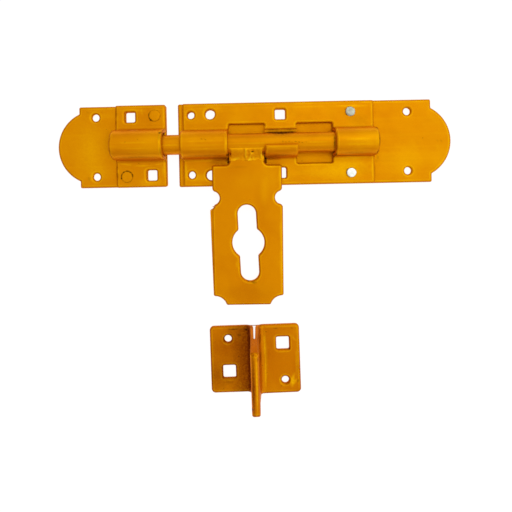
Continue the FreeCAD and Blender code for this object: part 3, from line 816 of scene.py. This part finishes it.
bolt = {
    "tipBevel": 0.002,
    "tailBevel": 0.001,
    "steps": 96,
    "ring": 0.0008,
    "ringless": 0.006,
    "sharpAngle": 30,
    # softened corners of the bevels, as steps along the bolt and out
    "tipFace": [(0.0, -0.0004), (0.0003, 0.0001)],
    "tipSide": [(-0.0004, -0.0004), (0.0006, 0.0)],
    "tailSide": [(-0.0004, 0.0), (0.0003, -0.0003)],
    # painted highlight lines along the bolt, then painted shadow under the cover's lip and a row
    # of small dark marks
    "highlight_and_rub": [(-88, -0.9, 12, 0.8, 0, 0.6), (-20, -0.8, 30, 0.7, 0, 0.45),
               (28, -0.8, 14, 0.9, 0, 0.5), (28, -3.0, 14, 0.5, 0, 0.35),
               (-25, -3.4, 24, 0.6, 0, 0.3)],
    "grime_and_shade": [(0.5, 7.3, 14.5, 1.5, 0, 1.0), (0, 5.6, 13, 1.0, 0, 0.3),
             (1.0, 0.3, 0.9, 0.45, 10, 0.9), (3.2, -0.2, 0.8, 0.4, -10, 0.9),
             (6.0, 0.2, 0.9, 0.45, 20, 0.9), (8.4, -0.3, 0.7, 0.4, 0, 0.9),
             (10.8, 0.1, 1.1, 0.45, -10, 1.0), (13.6, -0.4, 1.0, 0.45, 10, 1.0),
             (16.2, -0.9, 0.9, 0.4, 0, 0.8), (19.0, -0.5, 0.6, 0.35, 0, 0.6),
             (41.6, -1, 9, 1.0, 90, 0.9), (-86, 7.0, 14, 1.0, 0, 0.25),
             (-24, 7.2, 15, 0.8, 0, 0.25)],
}
low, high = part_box("bolt_rod")
boltRadius = (high.z - low.z) / 2


def softCorner(x, radius, steps):
    return [(x + along, radius + out) for along, out in steps]


tipX = low.x + bolt["tipBevel"]
ringCount = int((high.x - low.x - bolt["ringless"]) / bolt["ring"])
outline = [(low.x, 0.0), *softCorner(low.x, boltRadius - bolt["tipBevel"], bolt["tipFace"]),
           *softCorner(tipX, boltRadius, bolt["tipSide"]),
           *[(tipX + i * bolt["ring"], boltRadius) for i in range(1, ringCount)],
           *softCorner(high.x - bolt["tailBevel"], boltRadius, bolt["tailSide"]),
           (high.x, boltRadius - bolt["tailBevel"]), (high.x, 0.0)]
bm = turnedSkin(outline, (1, 0, 0), bolt["steps"])
bmesh.ops.translate(bm, verts=bm.verts, vec=(0, 0, (high.z + low.z) / 2))
bm.normal_update()
measureRims(bm)
paintMarks(bm, "highlight_and_rub", bolt["highlight_and_rub"])
paintMarks(bm, "grime_and_shade", bolt["grime_and_shade"])
addPiece("boltRod", bm, "bolt", platedRod, "bolt_rod", bolt["sharpAngle"])

handle = {
    "edge": 0.0013,
    "segments": 5,
    "archFrom": 0.03,
    "neckClear": 0.012,
    "step": 0.0015,
    # painted highlights: a lighter band at the top and lines along the rims on the right
    "highlight_and_rub": [(-14, -36, 20, 5, 88, 0.3), (-8, -28, 14, 7, 90, 0.2), (-29, -30, 16, 10, 0, 0.12),
               (-1.3, -72, 26, 0.9, 90, 0.7), (-1.4, -100, 24, 0.9, 90, 0.6),
               (-1.3, -27, 9, 1.0, 90, 0.8), (-55.0, -28, 10, 0.9, 91, 0.6),
               (-20, -16.5, 8, 0.9, 0, 0.4), (-9, -18.8, 9, 0.9, 0, 0.6),
               (-7.0, -44, 5, 0.8, 90, 0.7), (-37.9, -57, 4.5, 0.8, 90, 0.6),
               (-37.9, -98, 4.5, 0.8, 90, 0.5)],
    # one corner of the side notches is filed open: x, y, reach along y and depth
    "filed": (-0.0562, -0.0507, 0.0028, 0.0016),
    "fileFade": 0.008,
    "wallFacing": 0.3,
    # small dark marks, and painted shade darkening the bottom and along the neck
    "grime_and_shade": [(-28.7, -112.3, 1.5, 0.7, 0, 1.0), (-24.6, -113.2, 2.8, 0.45, -8, 0.9),
             (-19.8, -104.4, 2.0, 0.45, 84, 0.6), (-14.0, -130.6, 0.9, 0.5, 30, 0.6),
             (-34, -124.2, 0.5, 0.4, 0, 0.3), (-46, -78, 0.5, 0.4, 0, 0.3),
             (-42, -96, 0.5, 0.4, 0, 0.3), (-10, -50, 0.5, 0.4, 0, 0.3),
             (-28, -122, 36, 14, 0, 0.08), (-36, -19.2, 12, 1.2, 3, 0.15)],
    "dents": [(-28.6, -112.4, 1.6, 1.2, 0, 0.25), (-25.6, -112.9, 1.5, 0.8, 0, -0.2)],
}
bm = mergedCopy("handle_plate")
x, y, reach, depth = handle["filed"]
for cut in (y - reach, y, y + reach):
    walls = [f for f in bm.faces if abs(f.normal.z) < handle["wallFacing"]
             and min(abs(v.co.x - x) for v in f.verts) < handle["fileFade"]]
    cutAcross(bm, walls, (0, cut, 0), (0, 1, 0))
for v in bm.verts:
    aside = abs(v.co.x - x) / handle["fileFade"]
    along = abs(v.co.y - y) / reach
    if aside < 1 and along < 1:
        v.co.x += depth * (1 - along) * (1 - aside)
rims = frontEdgePoints(bm)
awayFromBolt = sharpEdges(bm, lambda p: p.y < -handle["neckClear"])
roundEdges(bm, awayFromBolt, handle["edge"], handle["segments"], handle["archFrom"])
gridCut(bm, handle["step"])
measureRims(bm, rims)
markSheet(bm, handle)
addPiece("handlePlate", bm, "handle", platedHandle, "handle_plate")

# the weld is one skin laid into the corner between the bolt and the front of the neck
weld = {
    "halfLength": 0.0139,
    "from": -0.0040,
    "to": -0.0142,
    "crest": -0.0038,
    "toe": -0.0130,
    "toeSway": 0.0014,
    "sideFade": 0.0022,
    "endFade": 0.0010,
    "toeScale": 160,
    "grit": 0.00016,
    "gritScale": 520,
    "skinLift": 0.00006,
    "sharpAngle": 80,
    "cell": 0.0003,
    "neckFront": 0.002,
    "lean": 3.94,
    # ridges: ends along the neck and below the bolt's axis, then width and height
    "ridges": [(-0.9, -5.6, -0.8, -11.0, 1.1, 0.8), (3.8, -8.8, -0.4, -13.4, 1.1, 0.8),
               (11.2, -8.0, 11.6, -12.0, 1.2, 0.4), (-11.4, -8.4, -10.6, -11.0, 1.8, 0.3),
               (-3.6, -11.2, -1.8, -12.8, 1.3, 0.25)],
    "pits": [(4.6, -7.0, 1.3, 1.2), (1.6, -8.0, 0.9, 0.35), (8.2, -7.2, 2.2, 0.5)],
    # painted highlights on the ridges, then small dark marks
    "highlight_and_rub": [(-28.6, -8.8, 5, 0.9, 90, 1.2), (-25.1, -11.6, 5.4, 0.9, 66, 1.2),
               (-16, -9.6, 3.4, 1.4, 84, 1.0), (-22.6, -11.4, 2.6, 0.8, 100, 0.8),
               (-24, -14, 8, 2, 0, 0.4), (-37, -12.6, 6, 1.6, 20, 0.5)],
    "grime_and_shade": [(-23.2, -7.0, 1.7, 0.8, 0, 1.0), (-40.8, -9, 1.6, 0.8, 60, 0.5),
             (-20.4, -11.0, 0.6, 0.4, 0, 0.6), (-13.9, -10, 3.0, 0.5, 90, 0.5)],
}
hinge = Vector(frame["record"]["behaviour"]["joints"][1]["pos_m"])
skinRadius = boltRadius + weld["skinLift"]


def segmentDistance(px, py, ax, ay, bx, by):
    length = (bx - ax) ** 2 + (by - ay) ** 2
    t = max(0.0, min(1.0, ((px - ax) * (bx - ax) + (py - ay) * (by - ay)) / length))
    return math.hypot(px - ax - t * (bx - ax), py - ay - t * (by - ay))


def eased(t):
    t = max(0.0, min(1.0, t))
    return t * t * (3 - 2 * t)


def weldHeight(u, y):
    # over the bolt's axis: a smooth bridge from the bolt to the neck, with ridges and pits
    onBolt = math.sqrt(max(0.0, skinRadius ** 2 - y ** 2))
    lean = math.radians(weld["lean"])
    onNeck = weld["neckFront"] / math.cos(lean) + y * math.tan(lean)
    toe = weld["toe"] + weld["toeSway"] * noise.noise(Vector((u * weld["toeScale"], 0.3, 0.9)))
    crestHeight = math.sqrt(skinRadius ** 2 - weld["crest"] ** 2)
    bridge = onNeck + (crestHeight - onNeck) * eased((y - toe) / (weld["crest"] - toe))
    edge = eased(min((weld["halfLength"] - abs(u)) / weld["sideFade"],
                     (weld["from"] - y) / weld["endFade"], (y - weld["to"]) / weld["endFade"]))
    natural = max(onBolt, onNeck)
    z = natural + max(0.0, bridge - natural) * edge
    for ax, ay, bx, by, width, height in weld["ridges"]:
        away = segmentDistance(u * 1000, y * 1000, ax, ay, bx, by) / width
        z += 0.001 * height * math.exp(-away * away) * edge
    for px, py, width, depth in weld["pits"]:
        away = math.hypot(u * 1000 - px, y * 1000 - py) / width
        z -= 0.001 * depth * math.exp(-away * away) * edge
    grit = noise.noise(Vector((u * weld["gritScale"], y * weld["gritScale"], 0.4)))
    return z + weld["grit"] * grit * edge - weld["skinLift"] * (1 - edge) ** 4


bm = bmesh.new()
bmesh.ops.create_grid(bm, x_segments=int(2 * weld["halfLength"] / weld["cell"]),
                      y_segments=int((weld["from"] - weld["to"]) / weld["cell"]), size=1.0)
for v in bm.verts:
    # the grid runs from -1 to 1 both ways
    u = weld["halfLength"] * v.co.x
    y = weld["to"] + (weld["from"] - weld["to"]) * (1 + v.co.y) / 2
    v.co = (hinge.x + u, y, hinge.z + weldHeight(u, y))
bm.normal_update()
measureRims(bm)
paintMarks(bm, "highlight_and_rub", weld["highlight_and_rub"])
paintMarks(bm, "grime_and_shade", weld["grime_and_shade"])
addPiece("handleWeld", bm, "handle", platedWeld, "handle_weld",
         weld["sharpAngle"])


stapleSpec = {
    "edge": 0.001,
    "archFrom": 0.05,
    "gapX": -0.0244,
    "gapClear": 0.0025,
    "gapTop": 0.025,
    "step": 0.0009,
    # painted shade: the left flange darkens towards the tongue, as if in the tongue's shadow
    "shadeFrom": -0.050,
    "shadeTo": -0.028,
    "shade": 0.95,
    "wallStep": 0.002,
    "wallFacing": 0.9,
    # painted shade on the left flange and on the tongue's front
    "shaded": [(-56, -192, 18, 17, 20, 0.3), (-48, -178, 34, 30, 90, 0.22),
               (-25.5, -178, 32, 1.5, 90, 0.65), (-21.2, -178, 32, 0.8, 90, 0.4)],
    # painted highlights along the bends and the tongue, then dark spots and painted shade beside
    # the tongue
    "highlight_and_rub": [(-16.5, -166, 17, 1.1, 90, 1.0), (-16.2, -189, 18, 1.1, 90, 1.0),
               (-23.2, -178, 28, 0.8, 90, 0.9), (-15.4, -178, 22, 1.8, 90, 0.3),
               (5.8, -197.0, 5.5, 2.4, 80, 0.9), (6.4, -193, 5, 1.6, 70, 0.8),
               (8.0, -196.5, 4, 1.6, 60, 0.7), (9.6, -180, 20, 1.3, 90, 0.45),
               (-36.6, -160, 8, 0.5, 90, 0.35), (-37, -198, 4, 0.5, 90, 0.4),
               (7, -160, 6, 1.2, 130, 0.4), (-34, -203.2, 20, 0.8, 0, 0.5)],
    "grime_and_shade": [(-42.5, -152.4, 5, 0.8, 0, 0.7), (-31.6, -152.6, 2.0, 1.4, 0, 1.0),
             (-45.0, -156.4, 3.2, 1.0, -20, 0.55), (-37.6, -157.2, 2.4, 1.0, -10, 0.6),
             (-31.2, -197, 3.2, 1.4, 80, 0.3), (-39.6, -201.4, 0.8, 0.6, 0, 0.8),
             (-51.4, -201.2, 0.8, 0.6, 0, 0.7), (-58.6, -190, 1.2, 0.8, 60, 0.4),
             (-46, -196, 6, 1.6, 0, 0.25), (-20.4, -160, 7, 1.2, 85, 0.6),
             (-20.0, -175, 7, 1.0, 88, 0.5), (-20.6, -152.8, 2.2, 0.8, 0, 0.7),
             (0.8, -159.8, 1.5, 0.7, 0, 1.0), (3.4, -161.0, 2.2, 0.6, 80, 0.9),
             (3.6, -169.6, 1.2, 0.9, 0, 1.0), (6.0, -152.2, 1.2, 0.8, 0, 0.5),
             (10.6, -196, 2.6, 1.2, 70, 0.4), (-7, -152.4, 3.0, 0.6, 0, 0.4),
             (-22.0, -160.4, 2.4, 1.0, 80, 0.4), (-26.6, -197.2, 1.8, 1.1, 70, 0.8),
             (-26.4, -187, 12, 0.9, 90, 0.35)],
    "dents": [(-26.8, -197.0, 1.6, 1.4, 90, -0.35), (5.0, -192, 4, 2, 70, 0.12)],
    # arcs of marks: x, y, radius, from and to in degrees, half width and strength
    "arcs": {"highlight_and_rub": [(-46.6, -160.1, 4.2, 20, 200, 0.5, 0.5),
                        (0.0, -195.1, 4.4, 130, 240, 0.6, 0.9)],
             "grime_and_shade": [(0.0, -195.1, 3.9, 270, 400, 0.5, 0.45)]},
}
for layerName, arcs in stapleSpec["arcs"].items():
    for arc in arcs:
        stapleSpec[layerName] += arcMarks(*arc)


def clearOfGap(p):
    # the edges between the two sheets of the tongue stay as they are
    aside = abs(p.x - stapleSpec["gapX"]) > stapleSpec["gapClear"]
    return aside or p.z > stapleSpec["gapTop"]


bm = mergedCopy("staple")
rims = frontEdgePoints(bm, lowest=-1.0)
roundEdges(bm, sharpEdges(bm, clearOfGap), stapleSpec["edge"], archFrom=stapleSpec["archFrom"])
gridCut(bm, stapleSpec["step"])
for way in (1, -1):
    # the tongue's sides too, or the rims' line would run across them
    gridCut(bm, stapleSpec["wallStep"], (way, 0, 0), stapleSpec["wallFacing"])
measureRims(bm, rims)
markSheet(bm, stapleSpec)
paintMarks(bm, "shade", stapleSpec["shaded"])
# painted shade growing from the left towards the tongue
shade = bm.verts.layers.float["shade"]
for v in bm.verts:
    if v.co.x < stapleSpec["shadeTo"] and v.normal.z > meshWork["paintFacing"]:
        share = v.co.x - stapleSpec["shadeFrom"]
        share /= stapleSpec["shadeTo"] - stapleSpec["shadeFrom"]
        v[shade] = max(v[shade], stapleSpec["shade"] * share)
addPiece("stapleSheet", bm, "body", platedStaple, "staple")
print("pieces built")


studio = {
    "white": (1, 1, 1, 1),
    "floorHalf": 3.0,
    "floorZ": -0.0004,
    "floorShade": (0.9, 0.9, 0.9, 1),
    "floorRoughness": 0.9,
    "floorLift": 0.5,
    "floorGlow": 0.4,
    "shadowShare": 0.14,
    "topAt": (0.25, 0.3, 0.9),
    "topAim": (0, -0.05, 0),
    "topSize": 0.5,
    "topPower": 0.4,
    # brightness by height over the horizon, as pairs of sine and level
    "brightDome": [(0.0, 0.8), (0.35, 0.95), (0.62, 1.3), (0.8, 1.36), (0.92, 1.06), (1.0, 0.92)],
    "dimDome": [(0.0, 0.27), (0.35, 0.44), (0.62, 0.62), (0.8, 0.8), (0.92, 0.88), (1.0, 0.86)],
    # the room is brighter towards the right and the top of the set
    "brightSide": (0.94, 0.34, 0.0),
    "sideReach": 0.9,
    # dim directions are warmer: levels from and to, then their green and blue
    "warmth": (0.3, 1.3, 0.62, 1.18),
}


def pureWhenSeen(name):
    # white where the camera or a gloss looks at it, with part of it lit so that shadows show
    mat, tree, shader = newMaterial(name, {
        "Base Color": studio["floorShade"], "Roughness": studio["floorRoughness"],
        "Specular IOR Level": 0.0, "Emission Color": studio["white"],
        "Emission Strength": studio["floorLift"]})
    glow = addNode(tree, "Emission", {"Color": studio["white"], "Strength": 1.0})
    path = addNode(tree, "LightPath").outputs
    glossy = mathOf(tree, "MULTIPLY", path["Is Glossy Ray"], studio["floorGlow"])
    seen = mathOf(tree, "MAXIMUM", path["Is Camera Ray"], glossy)
    share = mathOf(tree, "MULTIPLY", seen, 1.0 - studio["shadowShare"])
    mix = addNode(tree, "MixShader", {0: share, 1: shader.outputs[0], 2: glow.outputs[0]})
    tree.links.new(mix.outputs[0], tree.nodes["Material Output"].inputs["Surface"])
    return mat


bm = bmesh.new()
bmesh.ops.create_grid(bm, x_segments=1, y_segments=1, size=studio["floorHalf"])
bmesh.ops.translate(bm, verts=bm.verts, vec=(0, 0, studio["floorZ"]))
floorMesh = bpy.data.meshes.new("floor")
bm.to_mesh(floorMesh)
bm.free()
floorMesh.materials.append(pureWhenSeen("paleFloor"))
floor = putInScene("floor", floorMesh)

lampData = bpy.data.lights.new("topLamp", "AREA")
lampData.shape = "SQUARE"
lampData.size = studio["topSize"]
lampData.energy = studio["topPower"]
lamp = putInScene("topLamp", lampData)
lamp.location = studio["topAt"]
lamp.rotation_mode = "QUATERNION"
aim = Vector(studio["topAim"]) - Vector(studio["topAt"])
lamp.rotation_quaternion = aim.to_track_quat("-Z", "Y")
lamp.visible_camera = False


def domeRamp(tree, height, levels):
    # grey by height over the horizon, halved to fit the ramp
    ramp = addNode(tree, "ValToRGB", {"Fac": height})
    ramp.color_ramp.interpolation = "EASE"
    stops = ramp.color_ramp.elements
    stops.remove(stops[1])
    for i, (sine, value) in enumerate(levels):
        stop = stops[0] if i == 0 else stops.new(sine)
        stop.position = sine
        stop.color = (value / 2, value / 2, value / 2, 1)
    return ramp.outputs["Color"]


world = bpy.data.worlds.new("studio")
bpy.context.scene.world = world
world.use_nodes = True
tree = world.node_tree
tree.nodes.clear()
direction = addNode(tree, "TexCoord").outputs["Generated"]
height = addNode(tree, "SeparateXYZ", {0: direction}).outputs["Z"]
towards = addNode(tree, "VectorMath", {0: direction, 1: studio["brightSide"]},
                  operation="DOT_PRODUCT").outputs["Value"]
side = rangeOf(tree, towards, -studio["sideReach"], studio["sideReach"], smooth=True)
dome = mixOf(tree, side, domeRamp(tree, height, studio["dimDome"]),
             domeRamp(tree, height, studio["brightDome"]))
level = mathOf(tree, "MULTIPLY", dome, 2.0)
warmth = rangeOf(tree, level, *studio["warmth"])
tint = addNode(tree, "CombineColor", {0: 1.0, 1: warmth, 2: warmth}).outputs[0]
around = addNode(tree, "Background", {"Color": tint, "Strength": level})
plain = addNode(tree, "Background", {"Color": studio["white"], "Strength": 1.0})
seen = addNode(tree, "LightPath").outputs["Is Camera Ray"]
mix = addNode(tree, "MixShader", {0: seen, 1: around.outputs[0], 2: plain.outputs[0]})
addNode(tree, "OutputWorld", {"Surface": mix.outputs[0]})

shot = {"at": (-0.0208, -0.0296, 0.330), "lens": 27.84, "sensor": 36.0, "turn": -1.2,
        "shiftY": -0.1484, "clipStart": 0.01}
cameraData = bpy.data.cameras.new("camera")
cameraData.lens = shot["lens"]
cameraData.sensor_width = shot["sensor"]
cameraData.shift_y = shot["shiftY"]
cameraData.clip_start = shot["clipStart"]
camera = putInScene("camera", cameraData)
camera.location = shot["at"]
camera.rotation_euler = (0, 0, math.radians(shot["turn"]))
bpy.context.scene.camera = camera
bpy.context.scene.view_settings.view_transform = "Standard"
print("studio built")
